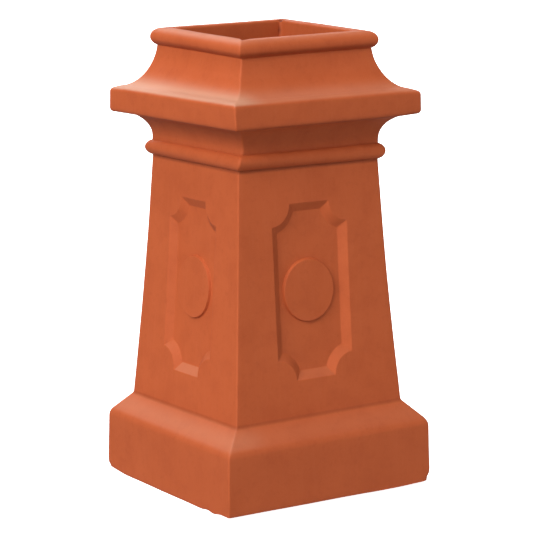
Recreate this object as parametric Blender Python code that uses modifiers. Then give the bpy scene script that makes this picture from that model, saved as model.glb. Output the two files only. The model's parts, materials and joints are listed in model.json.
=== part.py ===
"""Square terracotta chimney pot, moulded in one piece.

A plinth with a splayed top carries a battered square shaft. Each face of the shaft has a sunk panel with
scalloped corners and a low round boss in its middle. Above the shaft come a bead, a short neck, a cove,
a flat slab, a tall cavetto and a roll rim round the square mouth. The pot is hollow and open at both ends.

Units are metres, +Z is up, and the origin is the middle of the underside.
"""

import math

import bmesh
import bpy
from mathutils import Matrix, Vector

# Driving dimensions of the outside, from the foot upwards
BASE_WIDTH = 0.360
PLINTH_TOP_WIDTH = 0.3562
PLINTH_HEIGHT = 0.0957
FOOT_ARRIS = 0.003
SPLAY_HEIGHT = 0.0314
SHAFT_FOOT_WIDTH = 0.2964
NECK_WIDTH = 0.2464
SHAFT_HEIGHT = 0.369
BEAD_RADIUS = 0.0125
BEAD_PROJECTION = 0.0086
NECK_HEIGHT = 0.0065
COVE_REACH = 0.0328
COVE_HEIGHT = 0.0345
SOFFIT_STEP = 0.0007
SLAB_WIDTH = 0.3372
SLAB_THICKNESS = 0.0375
SLAB_ARRIS = 0.006
LEDGE_WIDTH = 0.0129
LEDGE_FALL = 0.0035
CAVETTO_TOP_WIDTH = 0.2304
CAVETTO_HEIGHT = 0.0755
ROLL_RADIUS = 0.0133

# Driving dimensions of the inside
MOUTH_WIDTH = 0.1922
LIP_WIDTH = 0.014
MOUTH_ARRIS = 0.003
THROAT_RISE = 0.030
WALL = 0.0215
CORNICE_WALL = 0.040
CORNICE_HOLLOW_HEIGHT = 0.020

# Rounding of the upright corners, seen from above
OUTER_CORNER = 0.003
INNER_CORNER = 0.006
CORNER_SEGMENTS = 3

# Sunk panel and its boss, measured in the plane of a shaft face
PANEL_WIDTH = 0.1342
PANEL_HEIGHT = 0.261
SCALLOP_RADIUS = 0.032
PANEL_BEVEL = 0.0133
PANEL_DEPTH = 0.0085
BOSS_RADIUS = 0.0465
BOSS_HEIGHT = 0.0035
BOSS_EDGE_SLOPE = 0.0012
FRONT_PANEL_DRIFT = -0.0065
LEFT_PANEL_DRIFT = -0.003

# How finely the curves are drawn
ROLL_POINTS = 12
CAVETTO_POINTS = 14
COVE_POINTS = 9
BEAD_POINTS = 9
ARRIS_POINTS = 3
SCALLOP_POINTS = 10
BOSS_POINTS = 48
CUTTER_PROUD = 0.010
MERGE_DISTANCE = 0.00001

TERRACOTTA_COLOUR = (0.413, 0.107, 0.045, 1.0)
TERRACOTTA_ROUGHNESS = 0.85

# Levels that follow from the heights
SPLAY_TOP = PLINTH_HEIGHT + SPLAY_HEIGHT
SHAFT_TOP = SPLAY_TOP + SHAFT_HEIGHT
BEAD_REACH_BACK = BEAD_RADIUS - BEAD_PROJECTION
BEAD_HALF_HEIGHT = math.sqrt(BEAD_RADIUS**2 - BEAD_REACH_BACK**2)
BEAD_LEVEL = SHAFT_TOP + BEAD_HALF_HEIGHT
COVE_FOOT = BEAD_LEVEL + BEAD_HALF_HEIGHT + NECK_HEIGHT
SOFFIT_LEVEL = COVE_FOOT + COVE_HEIGHT + SOFFIT_STEP
SLAB_TOP = SOFFIT_LEVEL + SLAB_THICKNESS
CAVETTO_FOOT = SLAB_TOP + LEDGE_FALL
ROLL_LEVEL = CAVETTO_FOOT + CAVETTO_HEIGHT
TOTAL_HEIGHT = ROLL_LEVEL + ROLL_RADIUS

# Half widths that follow from the widths
NECK_HALF = NECK_WIDTH / 2
MOUTH_HALF = MOUTH_WIDTH / 2
ROLL_HALF = MOUTH_HALF + LIP_WIDTH
CAVETTO_FOOT_HALF = SLAB_WIDTH / 2 - LEDGE_WIDTH
CAVETTO_REACH = CAVETTO_FOOT_HALF - CAVETTO_TOP_WIDTH / 2
FASCIA_ARRIS_HALF = SLAB_WIDTH / 2 - SLAB_ARRIS


def clear_scene():
    """Remove every object that the file holds."""
    for item in list(bpy.data.objects):
        bpy.data.objects.remove(item, do_unlink=True)


def new_collection(name):
    """Return a new collection that is linked to the scene."""
    group = bpy.data.collections.new(name)
    bpy.context.scene.collection.children.link(group)
    return group


def terracotta():
    """Return the matte fired clay of the pot."""
    material = bpy.data.materials.new("Terracotta")
    material.use_nodes = True
    shader = material.node_tree.nodes["Principled BSDF"]
    shader.inputs["Base Color"].default_value = TERRACOTTA_COLOUR
    shader.inputs["Roughness"].default_value = TERRACOTTA_ROUGHNESS
    shader.inputs["Metallic"].default_value = 0.0
    return material


def arc(centre, radii, start, end, count):
    """Return points of an ellipse's arc as (half width, level), with angles in degrees."""
    points = []
    for step in range(count + 1):
        angle = math.radians(start + (end - start) * step / count)
        points.append((centre[0] + radii[0] * math.cos(angle), centre[1] + radii[1] * math.sin(angle)))
    return points


def cavetto_half(level):
    """Return the cavetto's half width at a level."""
    drop = (ROLL_LEVEL - level) / CAVETTO_HEIGHT
    return CAVETTO_FOOT_HALF - CAVETTO_REACH * math.sqrt(max(0.0, 1.0 - drop * drop))


def roll_underside_angle():
    """Return the angle, in degrees, at which the roll's underside meets the cavetto."""
    low, high = -90.0, 0.0
    for _ in range(40):
        middle = (low + high) / 2
        half = ROLL_HALF + ROLL_RADIUS * math.cos(math.radians(middle))
        level = ROLL_LEVEL + ROLL_RADIUS * math.sin(math.radians(middle))
        if half > cavetto_half(level):
            high = middle
        else:
            low = middle
    return (low + high) / 2


def outer_profile():
    """Return the outside of the pot, from the crown of the roll down to the foot."""
    underside = roll_underside_angle()
    roll = arc((ROLL_HALF, ROLL_LEVEL), (ROLL_RADIUS, ROLL_RADIUS), 90, underside, ROLL_POINTS)
    meeting = math.degrees(math.asin((roll[-1][1] - ROLL_LEVEL) / CAVETTO_HEIGHT))
    cavetto = arc((CAVETTO_FOOT_HALF, ROLL_LEVEL), (CAVETTO_REACH, CAVETTO_HEIGHT),
                  180 - meeting, 270, CAVETTO_POINTS)
    arris = (SLAB_ARRIS, SLAB_ARRIS)
    slab_top = arc((FASCIA_ARRIS_HALF, SLAB_TOP - SLAB_ARRIS), arris, 90, 0, ARRIS_POINTS)
    slab_foot = arc((FASCIA_ARRIS_HALF, SOFFIT_LEVEL + SLAB_ARRIS), arris, 0, -90, ARRIS_POINTS)
    cove_half = NECK_HALF + COVE_REACH
    cove = arc((cove_half, COVE_FOOT), (COVE_REACH, COVE_HEIGHT), 90, 180, COVE_POINTS)
    bead_turn = math.degrees(math.acos(BEAD_REACH_BACK / BEAD_RADIUS))
    bead = arc((NECK_HALF - BEAD_REACH_BACK, BEAD_LEVEL), (BEAD_RADIUS, BEAD_RADIUS),
               bead_turn, -bead_turn, BEAD_POINTS)
    foot_half = BASE_WIDTH / 2 - FOOT_ARRIS
    foot = arc((foot_half, FOOT_ARRIS), (FOOT_ARRIS, FOOT_ARRIS), 0, -90, ARRIS_POINTS)
    points = roll + cavetto[1:] + slab_top + slab_foot
    points += [(cove_half, SOFFIT_LEVEL)] + cove + bead
    points += [(SHAFT_FOOT_WIDTH / 2, SPLAY_TOP), (PLINTH_TOP_WIDTH / 2, PLINTH_HEIGHT)] + foot
    return points


def inset_line(guide, wall):
    """Return a polyline moved inwards by the wall, with its corners mitred."""
    normals = []
    for (half_a, level_a), (half_b, level_b) in zip(guide, guide[1:]):
        run = Vector((half_b - half_a, level_b - level_a)).normalized()
        normals.append(Vector((-run.y, run.x)))
    points = []
    for index, (half, level) in enumerate(guide):
        before = normals[max(index - 1, 0)]
        after = normals[min(index, len(normals) - 1)]
        mitre = (before + after).normalized()
        reach = wall / mitre.dot(before)
        points.append((half + mitre.x * reach, level + mitre.y * reach))
    return points


def inner_profile():
    """Return the inside of the pot, from the foot up to the lip."""
    guide = [(BASE_WIDTH / 2, 0.0), (PLINTH_TOP_WIDTH / 2, PLINTH_HEIGHT), (SHAFT_FOOT_WIDTH / 2, SPLAY_TOP),
             (NECK_HALF, SHAFT_TOP), (NECK_HALF, COVE_FOOT)]
    points = inset_line(guide, WALL)
    points[0] = (points[0][0], 0.0)
    hollow_half = SLAB_WIDTH / 2 - CORNICE_WALL
    slab_middle = SLAB_TOP - SLAB_THICKNESS / 2
    points.append((hollow_half, slab_middle - CORNICE_HOLLOW_HEIGHT / 2))
    points.append((hollow_half, slab_middle + CORNICE_HOLLOW_HEIGHT / 2))
    points.append((MOUTH_HALF, SLAB_TOP + THROAT_RISE))
    lip = arc((MOUTH_HALF + MOUTH_ARRIS, TOTAL_HEIGHT - MOUTH_ARRIS), (MOUTH_ARRIS, MOUTH_ARRIS),
              180, 90, ARRIS_POINTS)
    return points + lip


def object_from_bmesh(name, mesh_edit, group):
    """Return a new object in a collection, made from an edit mesh."""
    mesh = bpy.data.meshes.new(name)
    mesh_edit.to_mesh(mesh)
    mesh_edit.free()
    item = bpy.data.objects.new(name, mesh)
    group.objects.link(item)
    return item


def applied_copy(item, name, group):
    """Return an object that holds another one's evaluated mesh, and remove the other."""
    graph = bpy.context.evaluated_depsgraph_get()
    mesh = bpy.data.meshes.new_from_object(item.evaluated_get(graph))
    copy = bpy.data.objects.new(name, mesh)
    copy.matrix_world = item.matrix_world.copy()
    group.objects.link(copy)
    bpy.data.objects.remove(item, do_unlink=True)
    return copy


def turned_square(name, group):
    """Return the mouldings swept round the square plan, with mitred corners."""
    outer = outer_profile()
    profile = outer + inner_profile()
    mesh_edit = bmesh.new()
    verts = [mesh_edit.verts.new((half, half, level)) for half, level in profile]
    for index, vert in enumerate(verts):
        mesh_edit.edges.new((vert, verts[(index + 1) % len(verts)]))
    item = object_from_bmesh("Profile", mesh_edit, group)
    screw = item.modifiers.new("Square sweep", "SCREW")
    screw.axis = "Z"
    screw.angle = math.tau
    screw.steps = 4
    screw.render_steps = 4
    screw.use_merge_vertices = True
    screw.merge_threshold = MERGE_DISTANCE
    return applied_copy(item, name, group)


def is_mitre(edge):
    """Tell whether an edge runs along one of the four upright corners."""
    return all(abs(abs(vert.co.x) - abs(vert.co.y)) < MERGE_DISTANCE for vert in edge.verts) and (
        edge.verts[0].co.x * edge.verts[1].co.x > 0 and edge.verts[0].co.y * edge.verts[1].co.y > 0)


def round_corners(item):
    """Round the upright corners, little on the outside and more on the inside."""
    inner = {(round(half, 5), round(level, 5)) for half, level in inner_profile()}
    largest = max(OUTER_CORNER, INNER_CORNER)
    mesh_edit = bmesh.new()
    mesh_edit.from_mesh(item.data)
    weights = mesh_edit.edges.layers.float.new("bevel_weight_edge")
    for edge in mesh_edit.edges:
        if is_mitre(edge):
            ends = [(round(abs(vert.co.x), 5), round(vert.co.z, 5)) for vert in edge.verts]
            inside = all(end in inner for end in ends)
            edge[weights] = (INNER_CORNER if inside else OUTER_CORNER) / largest
    mesh_edit.to_mesh(item.data)
    mesh_edit.free()
    bevel = item.modifiers.new("Upright corners", "BEVEL")
    bevel.limit_method = "WEIGHT"
    bevel.width = largest
    bevel.segments = CORNER_SEGMENTS
    bevel.use_clamp_overlap = False


def scalloped_outline(inset):
    """Return the panel's outline in its own plane, moved inwards by an inset."""
    half_width = PANEL_WIDTH / 2
    half_height = PANEL_HEIGHT / 2
    radius = SCALLOP_RADIUS + inset
    turn = math.degrees(math.asin(inset / radius))
    points = []
    for corner_x, corner_y, start in ((1, 1, 270), (-1, 1, 360), (-1, -1, 90), (1, -1, 180)):
        centre = (corner_x * half_width, corner_y * half_height)
        points += arc(centre, (radius, radius), start - turn, start - 90 + turn, SCALLOP_POINTS)
    return points


def panel_cutter(name, group, boss):
    """Return the solid that sinks one panel, in the panel's plane with +Z out of the face."""
    levels = ((0.0, CUTTER_PROUD), (0.0, 0.0), (PANEL_BEVEL, -PANEL_DEPTH))
    mesh_edit = bmesh.new()
    rings = [[mesh_edit.verts.new((x, y, height)) for x, y in scalloped_outline(inset)]
             for inset, height in levels]
    for upper, lower in zip(rings, rings[1:]):
        for index in range(len(upper)):
            after = (index + 1) % len(upper)
            mesh_edit.faces.new((upper[index], lower[index], lower[after], upper[after]))
    mesh_edit.faces.new(rings[0])
    mesh_edit.faces.new(list(reversed(rings[-1])))
    bmesh.ops.recalc_face_normals(mesh_edit, faces=mesh_edit.faces)
    item = object_from_bmesh(name, mesh_edit, group)
    raise_boss = item.modifiers.new("Boss", "BOOLEAN")
    raise_boss.operation = "DIFFERENCE"
    raise_boss.solver = "EXACT"
    raise_boss.object = boss
    as_cutter(item)
    return item


def boss_form(name, group):
    """Return the low round boss that stands on a panel's floor."""
    depth = BOSS_HEIGHT + CUTTER_PROUD
    edge_slope = BOSS_EDGE_SLOPE * depth / BOSS_HEIGHT
    mesh_edit = bmesh.new()
    bmesh.ops.create_cone(mesh_edit, cap_ends=True, segments=BOSS_POINTS, radius1=BOSS_RADIUS + edge_slope,
                          radius2=BOSS_RADIUS, depth=depth,
                          matrix=Matrix.Translation((0, 0, BOSS_HEIGHT - PANEL_DEPTH - depth / 2)))
    item = object_from_bmesh(name, mesh_edit, group)
    as_cutter(item)
    return item


def as_cutter(item):
    """Keep a tool body out of the finished model."""
    item.hide_render = True
    item.display_type = "WIRE"


def face_frame(turn, drift):
    """Return the frame of a shaft face: +X along it, +Y up its slope, +Z out of it."""
    foot_half = SHAFT_FOOT_WIDTH / 2
    lean = math.atan2(foot_half - NECK_HALF, SHAFT_HEIGHT)
    middle = Vector((drift, -(foot_half + NECK_HALF) / 2, (SPLAY_TOP + SHAFT_TOP) / 2))
    upright = Matrix.Rotation(math.radians(90) - lean, 4, "X")
    return Matrix.Rotation(turn, 4, "Z") @ Matrix.Translation(middle) @ upright


def sink_panels(pot, cutters):
    """Cut the four panels with their bosses into the shaft."""
    drifts = {"front": FRONT_PANEL_DRIFT, "right": 0.0, "back": 0.0, "left": LEFT_PANEL_DRIFT}
    for index, (side, drift) in enumerate(drifts.items()):
        frame = face_frame(index * math.pi / 2, drift)
        boss = boss_form(f"boss_{side}", cutters)
        boss.matrix_world = frame
        cutter = panel_cutter(f"panel_{side}", cutters, boss)
        cutter.matrix_world = frame
        sink = pot.modifiers.new(f"Panel {side}", "BOOLEAN")
        sink.operation = "DIFFERENCE"
        sink.solver = "EXACT"
        sink.object = cutter


def build():
    """Build the chimney pot."""
    clear_scene()
    parts = new_collection("Chimney pot")
    cutters = new_collection("Cutters")
    pot = turned_square("chimney_pot", parts)
    round_corners(pot)
    sink_panels(pot, cutters)
    pot.data.materials.append(terracotta())
    pot.data.shade_smooth()
    pot.data.set_sharp_from_angle(angle=math.radians(30))


build()
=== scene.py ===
"""Looks of a square terracotta chimney pot: its fine mesh, its fired clay, the studio and the camera."""

from __future__ import annotations

import json
import logging
import math
from dataclasses import dataclass, field
from enum import Enum

import bmesh
import bpy
from mathutils import Matrix, Vector, noise

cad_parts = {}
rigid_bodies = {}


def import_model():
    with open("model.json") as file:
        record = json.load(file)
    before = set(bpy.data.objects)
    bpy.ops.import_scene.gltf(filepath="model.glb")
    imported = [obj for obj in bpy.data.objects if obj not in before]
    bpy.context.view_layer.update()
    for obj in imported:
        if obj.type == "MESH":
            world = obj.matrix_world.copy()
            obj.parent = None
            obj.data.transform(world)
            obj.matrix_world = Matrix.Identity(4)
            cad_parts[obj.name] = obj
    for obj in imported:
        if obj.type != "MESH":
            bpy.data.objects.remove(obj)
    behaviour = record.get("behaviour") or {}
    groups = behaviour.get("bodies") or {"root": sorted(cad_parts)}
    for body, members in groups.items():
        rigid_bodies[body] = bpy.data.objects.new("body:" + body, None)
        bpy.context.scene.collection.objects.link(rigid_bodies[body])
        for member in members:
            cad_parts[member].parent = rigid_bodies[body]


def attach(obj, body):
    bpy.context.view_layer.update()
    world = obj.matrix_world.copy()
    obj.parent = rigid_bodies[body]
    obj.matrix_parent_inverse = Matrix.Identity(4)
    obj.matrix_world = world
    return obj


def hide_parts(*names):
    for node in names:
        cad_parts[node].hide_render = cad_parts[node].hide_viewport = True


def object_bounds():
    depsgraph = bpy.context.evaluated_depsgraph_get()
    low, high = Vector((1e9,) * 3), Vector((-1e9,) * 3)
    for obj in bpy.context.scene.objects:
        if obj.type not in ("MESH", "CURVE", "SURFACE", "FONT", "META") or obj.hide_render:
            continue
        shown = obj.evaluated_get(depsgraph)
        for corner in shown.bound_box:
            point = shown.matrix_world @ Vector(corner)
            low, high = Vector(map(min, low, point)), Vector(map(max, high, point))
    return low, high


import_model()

LOG = logging.getLogger("chimney_pot")

CAD_NODE = "chimney_pot"
ROOT_BODY = "root"
CAD_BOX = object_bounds()
IMAGE_PIXELS = 535
SENSOR_MM = 36.0
WELD_DISTANCE = 0.00003
CORNER_CROWDING = 0.6
INSIDE_LEVEL = -1.0

# The Mix node's sockets share their names, so they are called by their numbers
MIX_NUMBERS = (2, 3)
MIX_COLOURS = (6, 7)
MIX_COLOUR_RESULT = 2

Point = tuple[float, float]
Limits = tuple[float, float]
Outline = list[Point]
Place = tuple[float, float, float]
Socket = bpy.types.NodeSocket
Tree = bpy.types.NodeTree


class Side(Enum):
    """The four faces of the pot, each with its quarter turns from the front."""

    FRONT = 0
    RIGHT = 1
    BACK = 2
    LEFT = 3

    @property
    def turn(self) -> float:
        """Return the face's turn about the upright axis, in radians."""
        return self.value * math.pi / 2


def linear_colour(code: str) -> tuple[float, float, float, float]:
    """Turn an sRGB hex colour into a linear one.

    Args:
        code: The colour as six hex digits after a hash sign.

    Returns:
        Red, green, blue and an alpha of one.
    """
    channels = [int(code[place:place + 2], 16) / 255 for place in (1, 3, 5)]
    return tuple(c / 12.92 if c <= 0.04045 else ((c + 0.055) / 1.055) ** 2.4 for c in channels) + (1.0,)


def add(tree: Tree, kind: str, inputs: dict | tuple = (), output: str | int = 0,
        **settings: object) -> Socket | None:
    """Add a node with its settings, values and links.

    Args:
        tree: The node tree that takes the node.
        kind: The node's type name.
        inputs: Values or output sockets, by the name or number of the node's own input, or in its order.
        output: The name or number of the output that is wanted.
        settings: Properties that are set before the inputs.

    Returns:
        The wanted output, or none from a node that has no outputs.
    """
    node = tree.nodes.new(kind)
    for name, value in settings.items():
        setattr(node, name, value)
    for key, value in inputs.items() if isinstance(inputs, dict) else enumerate(inputs):
        if isinstance(value, Socket):
            tree.links.new(value, node.inputs[key])
        else:
            node.inputs[key].default_value = value
    return node.outputs[output] if len(node.outputs) else None


def arc(centre: Point, radii: Point, start: float, end: float, steps: int) -> Outline:
    """Return points along an ellipse.

    Args:
        centre: The ellipse's middle.
        radii: Its half width and half height.
        start: The first angle in degrees.
        end: The last angle in degrees.
        steps: How many pieces the arc has.

    Returns:
        One point more than there are steps.
    """
    angles = [math.radians(start + (end - start) * step / steps) for step in range(steps + 1)]
    return [(centre[0] + radii[0] * math.cos(a), centre[1] + radii[1] * math.sin(a)) for a in angles]


def mix(low: float, high: float, share: float) -> float:
    """Return the number that lies a share of the way from one number to another."""
    return low + (high - low) * share


def smooth(value: float, low: float, high: float) -> float:
    """Return a value's place between two limits, from zero to one, with soft ends."""
    share = min(max((value - low) / (high - low), 0.0), 1.0)
    return share * share * (3 - 2 * share)


def soften(points: Outline, reach: float, steps: int = 4) -> Outline:
    """Round every inner corner of a line with a short curve.

    Args:
        points: The line's corners.
        reach: How far from its corner each curve starts, at most half the way to the next corner.
        steps: How many pieces each curve has.

    Returns:
        The rounded line, with its own two ends.
    """
    line = [Vector(point) for point in points]
    rounded = [line[0]]
    for before, corner, after in zip(line, line[1:], line[2:]):
        back = (before - corner).normalized() * min(reach, (before - corner).length / 2)
        ahead = (after - corner).normalized() * min(reach, (after - corner).length / 2)
        for step in range(steps + 1):
            t = step / steps
            rounded.append(corner + back * (1 - t) ** 2 + ahead * t**2)
    rounded.append(line[-1])
    return [tuple(point) for point in rounded]


def divide(points: Outline, longest: float) -> Outline:
    """Cut a line into pieces that are no longer than a given length.

    Args:
        points: The line's corners.
        longest: The longest piece that may stay.

    Returns:
        The line with more points, and none twice.
    """
    divided = [points[0]]
    for start, end in zip(points, points[1:]):
        pieces = math.ceil(math.dist(start, end) / longest)
        for piece in range(1, pieces + 1):
            t = piece / pieces
            divided.append((mix(start[0], end[0], t), mix(start[1], end[1], t)))
    return divided


def inset_line(guide: Outline, wall: float) -> Outline:
    """Move a line inwards by a wall, with its corners mitred.

    Args:
        guide: The line as (half width, level), from the foot upwards.
        wall: How far it is moved.

    Returns:
        The moved line.
    """
    runs = [Vector((b[0] - a[0], b[1] - a[1])).normalized() for a, b in zip(guide, guide[1:])]
    normals = [Vector((-run.y, run.x)) for run in runs]
    points = []
    for index, (half, level) in enumerate(guide):
        before = normals[max(index - 1, 0)]
        mitre = (before + normals[min(index, len(normals) - 1)]).normalized()
        reach = wall / mitre.dot(before)
        points.append((half + mitre.x * reach, level + mitre.y * reach))
    return points


def face_shares(steps: int) -> list[float]:
    """Return shares of a face's width, from zero to one, that crowd towards the corners."""
    even = [step / steps for step in range(steps + 1)]
    return [t - CORNER_CROWDING * math.sin(math.tau * t) / math.tau for t in even]


def new_object(name: str, mesh_edit: bmesh.types.BMesh) -> bpy.types.Object:
    """Return a new object in the scene, made from an edit mesh, which is freed.

    Args:
        name: The object's name.
        mesh_edit: The edit mesh.

    Returns:
        The object, at the origin.
    """
    mesh = bpy.data.meshes.new(name)
    mesh_edit.to_mesh(mesh)
    mesh_edit.free()
    item = bpy.data.objects.new(name, mesh)
    bpy.context.scene.collection.objects.link(item)
    return item


def node_group(name: str, inputs: dict[str, str]) -> tuple[Tree, bpy.types.NodeInputs]:
    """Start a Geometry Nodes tree.

    Args:
        name: The tree's name.
        inputs: The type of each named input after the geometry.

    Returns:
        The tree and the sockets that give its inputs.
    """
    tree = bpy.data.node_groups.new(name, "GeometryNodeTree")
    tree.interface.new_socket(name="Geometry", in_out="INPUT", socket_type="NodeSocketGeometry")
    for label, kind in inputs.items():
        tree.interface.new_socket(name=label, in_out="INPUT", socket_type=kind)
    tree.interface.new_socket(name="Geometry", in_out="OUTPUT", socket_type="NodeSocketGeometry")
    return tree, add(tree, "NodeGroupInput").node.outputs


def run_nodes(item: bpy.types.Object, tree: Tree, values: dict[str, object]) -> None:
    """Run a Geometry Nodes tree on an object and keep its result as the object's own mesh.

    Args:
        item: The object whose mesh is the tree's input.
        tree: The tree.
        values: The tree's named inputs.
    """
    modifier = item.modifiers.new(tree.name, "NODES")
    modifier.node_group = tree
    sockets = {entry.name: entry.identifier for entry in tree.interface.items_tree if entry.in_out == "INPUT"}
    for name, value in values.items():
        modifier[sockets[name]] = value
    graph = bpy.context.evaluated_depsgraph_get()
    mesh = bpy.data.meshes.new_from_object(item.evaluated_get(graph))
    item.modifiers.clear()
    item.data = mesh


@dataclass(frozen=True)
class Stain:
    """One faint pattern in the clay: a noise of a real size that lays a colour over what is there."""

    size_mm: float
    colour: str
    share: float
    low: float = 0.4
    high: float = 0.7
    stretch: float = 1.0
    detail: float = 3.0


@dataclass(frozen=True)
class Relief:
    """One fine pattern of the surface: a noise of a real size, its depth in metres and its strength."""

    size_mm: float
    depth: float
    strength: float
    detail: float


@dataclass(frozen=True)
class Band:
    """A level band round the pot: its middle's height, how far it fades up and down, and its strength."""

    level: float
    reach: float
    share: float


@dataclass(frozen=True)
class Terracotta:
    """Unglazed terracotta, pressed by hand in a mould and fired once.

    It is smooth and dense with a trace of sheen, a warm orange red with faint clouds from the kiln. Painted
    shade darkens it in the creases between the mouldings, low down and inside. The ledges that face up are
    pale, partly from a dusty film and partly from a painted highlight, most on the left side, where the key
    light falls.
    """

    # Bands of painted shade in the creases, on the lower part and inside
    creases: tuple[Band, ...]
    # Bands of a pale colour on the ledges, partly a dusty film and partly a painted highlight
    ledges: tuple[Band, ...]
    name: str = "unglazed_terracotta"
    body: str = "#B7552A"
    # Clouds from the kiln, the mottling in them, upright wipe marks, dark blotches and pale specks. Real
    # specks and grit are under a millimetre across, too fine at 1.5 mm to a pixel, so both are drawn coarser
    stains: tuple[Stain, ...] = (
        Stain(size_mm=120.0, colour="#BF5C31", share=0.40, low=0.35, high=0.7),
        Stain(size_mm=34.0, colour="#A94A22", share=0.36, low=0.42, high=0.72),
        Stain(size_mm=6.0, colour="#C0623A", share=0.12, stretch=11.0, low=0.45, high=0.75),
        Stain(size_mm=9.0, colour="#A44721", share=0.26, low=0.5, high=0.75, detail=5.0),
        Stain(size_mm=1.8, colour="#C1643B", share=0.16, low=0.4, high=0.75, detail=2.0),
    )
    # Pale colour on the ledges that face up: partly a dusty film, partly a painted highlight from the lamps
    # above and the key on the left. It fades on steeper slopes and towards the right side
    dust_and_highlight_colour: str = "#C18A6E"
    dust_and_highlight_slopes: Limits = (0.35, 0.97)
    dust_and_highlight_sides: Limits = (-0.145, -0.095)
    away_from_key_share: float = 0.35
    # The dark inner seams, and the painted shade in the creases, low down and inside
    seam_and_shade_colour: str = "#5E220E"
    # The dimples that pressing leaves, then the grit
    reliefs: tuple[Relief, ...] = (
        Relief(size_mm=9.0, depth=0.0010, strength=0.12, detail=2.0),
        Relief(size_mm=1.6, depth=0.0005, strength=0.15, detail=3.0),
    )
    roughness: float = 0.7
    refraction: float = 1.45
    sheen: float = 0.35

    def material(self) -> bpy.types.Material:
        """Make the clay.

        Returns:
            A node material that reads Object coordinates and the mesh's own "seam" and "level".
        """
        material = bpy.data.materials.new(self.name)
        material.use_nodes = True
        tree = material.node_tree
        shader = tree.nodes["Principled BSDF"]
        place = add(tree, "ShaderNodeTexCoord", output="Object")
        tree.links.new(self._colour(tree, place), shader.inputs["Base Color"])
        tree.links.new(self._relief(tree, place), shader.inputs["Normal"])
        shader.inputs["Roughness"].default_value = self.roughness
        shader.inputs["IOR"].default_value = self.refraction
        shader.inputs["Specular IOR Level"].default_value = self.sheen
        return material

    def _colour(self, tree: Tree, place: Socket) -> Socket:
        """Return the clay's colour.

        Args:
            tree: The material's tree.
            place: The Object coordinates.

        Returns:
            The body colour under its stains, a dusty film with painted highlight, painted shade and dark
            inner seams.
        """
        colour: Socket | tuple[float, ...] = linear_colour(self.body)
        seam = add(tree, "ShaderNodeAttribute", output="Fac", attribute_name="seam")
        layers = [(self._stain(tree, place, stain), stain.colour) for stain in self.stains]
        # A pale dusty film with a painted highlight on the ledges that face up
        layers.append((self._dust_and_highlight(tree, place), self.dust_and_highlight_colour))
        # Painted shade in the creases, low down and inside, over the dark inner seams
        layers.append((self._bands(tree, self.creases, seam), self.seam_and_shade_colour))
        under, over = MIX_COLOURS
        for share, code in layers:
            inputs = {"Factor": share, under: colour, over: linear_colour(code)}
            colour = add(tree, "ShaderNodeMix", inputs, output=MIX_COLOUR_RESULT, data_type="RGBA")
        return colour

    @staticmethod
    def _stain(tree: Tree, place: Socket, stain: Stain) -> Socket:
        """Return how strongly a stain covers each place.

        Args:
            tree: The material's tree.
            place: The Object coordinates.
            stain: The stain.

        Returns:
            A strength up to the stain's own share.
        """
        across = 1000 / stain.size_mm
        scale = (across, across, across / stain.stretch)
        drawn = add(tree, "ShaderNodeMapping", {"Vector": place, "Scale": scale})
        cloud = add(tree, "ShaderNodeTexNoise", {"Vector": drawn, "Scale": 1.0, "Detail": stain.detail})
        limits = {"Value": cloud, "From Min": stain.low, "From Max": stain.high, "To Max": stain.share}
        return add(tree, "ShaderNodeMapRange", limits, interpolation_type="SMOOTHSTEP")

    def _dust_and_highlight(self, tree: Tree, place: Socket) -> Socket:
        """Return how strongly the pale colour, a dusty film with a painted highlight, covers each place.

        Args:
            tree: The material's tree.
            place: The Object coordinates.

        Returns:
            A strength that is greatest on level ledges at the left, which face the lamps above and the key
            lamp.
        """
        # Faces that look up, towards the lamps above, take more: a painted highlight as well as a dusty film
        facing = add(tree, "ShaderNodeNewGeometry", output="Normal")
        upward = add(tree, "ShaderNodeSeparateXYZ", {"Vector": facing}, output="Z")
        steep, flat = self.dust_and_highlight_slopes
        limits = {"Value": upward, "From Min": steep, "From Max": flat}
        flatness = add(tree, "ShaderNodeMapRange", limits, interpolation_type="SMOOTHSTEP")
        ledges = self._bands(tree, self.ledges, 0.0)
        ledge_dust_and_highlight = add(tree, "ShaderNodeMath", (flatness, ledges), operation="MULTIPLY")
        # More on the left, which faces the key lamp: painted light
        across = add(tree, "ShaderNodeSeparateXYZ", {"Vector": place}, output="X")
        left, right = self.dust_and_highlight_sides
        limits = {"Value": across, "From Min": left, "From Max": right, "To Min": 1.0,
                  "To Max": self.away_from_key_share}
        key_side = add(tree, "ShaderNodeMapRange", limits, interpolation_type="SMOOTHSTEP")
        return add(tree, "ShaderNodeMath", (ledge_dust_and_highlight, key_side), operation="MULTIPLY")

    @staticmethod
    def _bands(tree: Tree, bands: tuple[Band, ...], strength: Socket | float) -> Socket:
        """Return a strength with level bands laid over it.

        Args:
            tree: The material's tree.
            bands: The bands, at heights of the regular form, which the mesh keeps in "level".
            strength: The strength without the bands.

        Returns:
            The greatest of the strength and the bands.
        """
        level = add(tree, "ShaderNodeAttribute", output="Fac", attribute_name="level")
        for band in bands:
            away = add(tree, "ShaderNodeMath", (level, band.level), operation="SUBTRACT")
            away = add(tree, "ShaderNodeMath", (away,), operation="ABSOLUTE")
            limits = {"Value": away, "From Max": band.reach, "To Min": band.share, "To Max": 0.0}
            line = add(tree, "ShaderNodeMapRange", limits, interpolation_type="SMOOTHSTEP")
            strength = add(tree, "ShaderNodeMath", (strength, line), operation="MAXIMUM")
        return strength

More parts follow.
